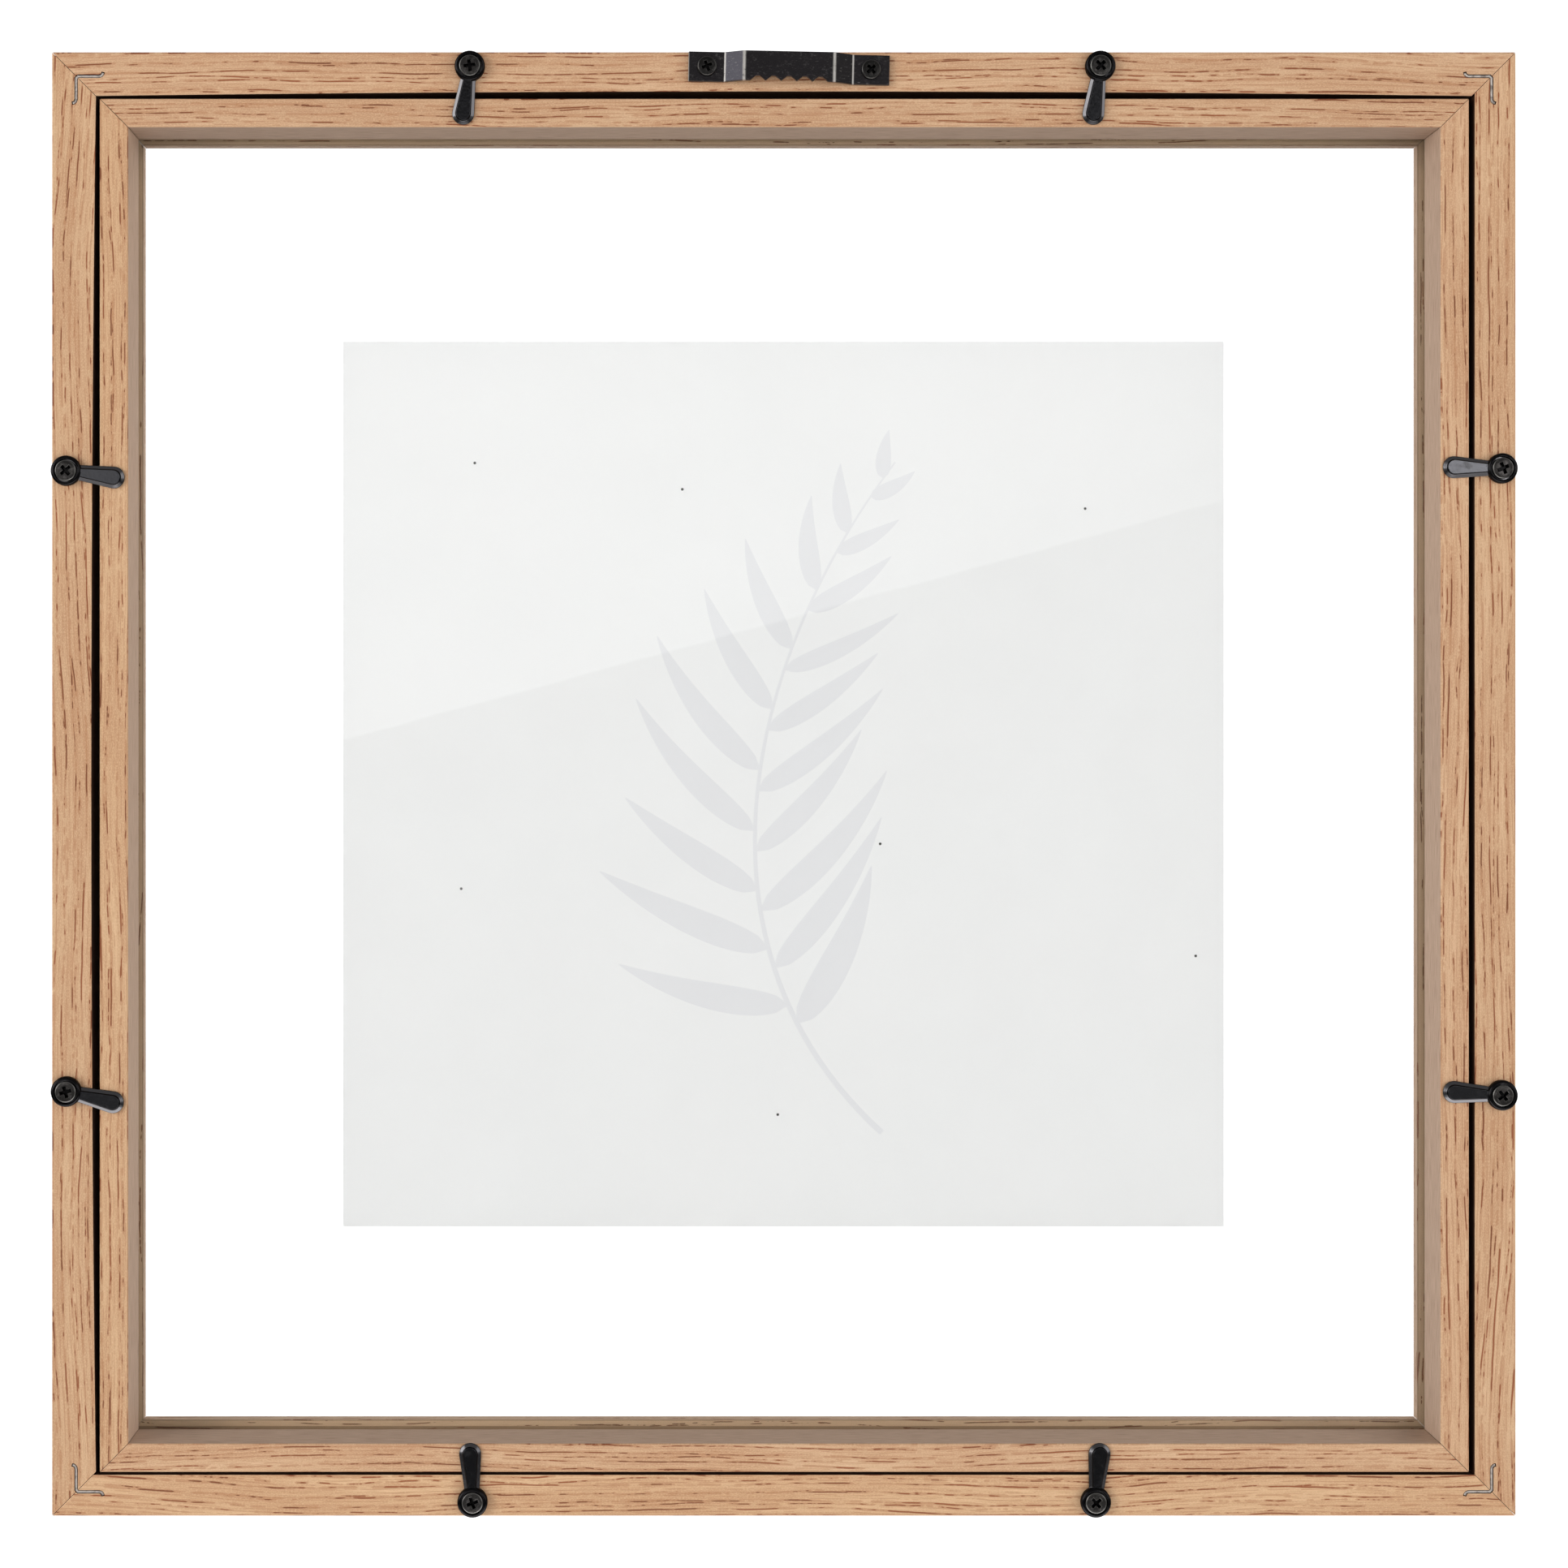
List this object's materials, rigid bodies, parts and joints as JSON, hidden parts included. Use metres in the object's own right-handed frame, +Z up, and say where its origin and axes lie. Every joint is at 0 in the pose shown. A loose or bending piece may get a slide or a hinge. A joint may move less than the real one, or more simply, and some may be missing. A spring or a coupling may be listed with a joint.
{
  "type": "floating frame",
  "caption": "Square mitred oak floating frame: a print between glass panes on the lip, a spacer frame behind held by turn buttons, and a sawtooth hanger on the top rail.",
  "frame": {"origin": "where the wall nail's axis meets the rear face of the rails, in the centre notch of the sawtooth hanger", "axes": "+Y out of the rear face towards the wall, -Y out of the front towards the room, +Z up, +X to the right as seen from the front"},
  "size_m": [0.32, 0.0253, 0.32],
  "materials": {
    "outer_oak": "clear matt oil on fine-sanded light oak, grain along each rail",
    "inner_oak": "clear matt oil on planed light oak, grain along each rail",
    "glass": "clear float glass with seamed edges",
    "print_paper": "uncoated white print paper",
    "button_black": "satin black lacquer on pressed steel",
    "screw_black": "black zinc, slightly worn at the cross",
    "hanger_steel": "blackened steel strip, worn bright at the bends",
    "nail_steel": "bare steel strip"
  },
  "bodies": {
    "frame": {"outer_rail_top": "outer_oak", "outer_rail_right": "outer_oak", "outer_rail_bottom": "outer_oak", "outer_rail_left": "outer_oak", "corner_nail_top_right": "nail_steel", "corner_nail_bottom_right": "nail_steel", "corner_nail_bottom_left": "nail_steel", "corner_nail_top_left": "nail_steel", "front_glass": "glass", "art_print": "print_paper", "rear_glass": "glass", "inner_rail_top": "inner_oak", "inner_rail_right": "inner_oak", "inner_rail_bottom": "inner_oak", "inner_rail_left": "inner_oak", "button_screw_top_left": "screw_black", "button_screw_top_right": "screw_black", "button_screw_right_upper": "screw_black", "button_screw_right_lower": "screw_black", "button_screw_bottom_right": "screw_black", "button_screw_bottom_left": "screw_black", "button_screw_left_lower": "screw_black", "button_screw_left_upper": "screw_black", "sawtooth_hanger": "hanger_steel", "hanger_screw_left": "screw_black", "hanger_screw_right": "screw_black"},
    "button_top_left": {"turn_button_top_left": "button_black"},
    "button_top_right": {"turn_button_top_right": "button_black"},
    "button_right_upper": {"turn_button_right_upper": "button_black"},
    "button_right_lower": {"turn_button_right_lower": "button_black"},
    "button_bottom_right": {"turn_button_bottom_right": "button_black"},
    "button_bottom_left": {"turn_button_bottom_left": "button_black"},
    "button_left_lower": {"turn_button_left_lower": "button_black"},
    "button_left_upper": {"turn_button_left_upper": "button_black"}
  },
  "joints": [
    {"name": "turn_top_left", "type": "hinge", "parent": "frame", "child": "button_top_left", "pos_m": [-0.068, 0.001, 0.00267], "axis": [0, 1, 0], "continuous": true},
    {"name": "turn_top_right", "type": "hinge", "parent": "frame", "child": "button_top_right", "pos_m": [0.0696, 0.001, 0.00267], "axis": [0, 1, 0], "continuous": true},
    {"name": "turn_right_upper", "type": "hinge", "parent": "frame", "child": "button_right_upper", "pos_m": [0.1577, 0.001, -0.08563], "axis": [0, 1, 0], "continuous": true},
    {"name": "turn_right_lower", "type": "hinge", "parent": "frame", "child": "button_right_lower", "pos_m": [0.1577, 0.001, -0.22112], "axis": [0, 1, 0], "continuous": true},
    {"name": "turn_bottom_right", "type": "hinge", "parent": "frame", "child": "button_bottom_right", "pos_m": [0.069, 0.001, -0.31072], "axis": [0, 1, 0], "continuous": true},
    {"name": "turn_bottom_left", "type": "hinge", "parent": "frame", "child": "button_bottom_left", "pos_m": [-0.067, 0.001, -0.31072], "axis": [0, 1, 0], "continuous": true},
    {"name": "turn_left_lower", "type": "hinge", "parent": "frame", "child": "button_left_lower", "pos_m": [-0.1557, 0.001, -0.22193], "axis": [0, 1, 0], "continuous": true},
    {"name": "turn_left_upper", "type": "hinge", "parent": "frame", "child": "button_left_upper", "pos_m": [-0.1557, 0.001, -0.08513], "axis": [0, 1, 0], "continuous": true}
  ]
}
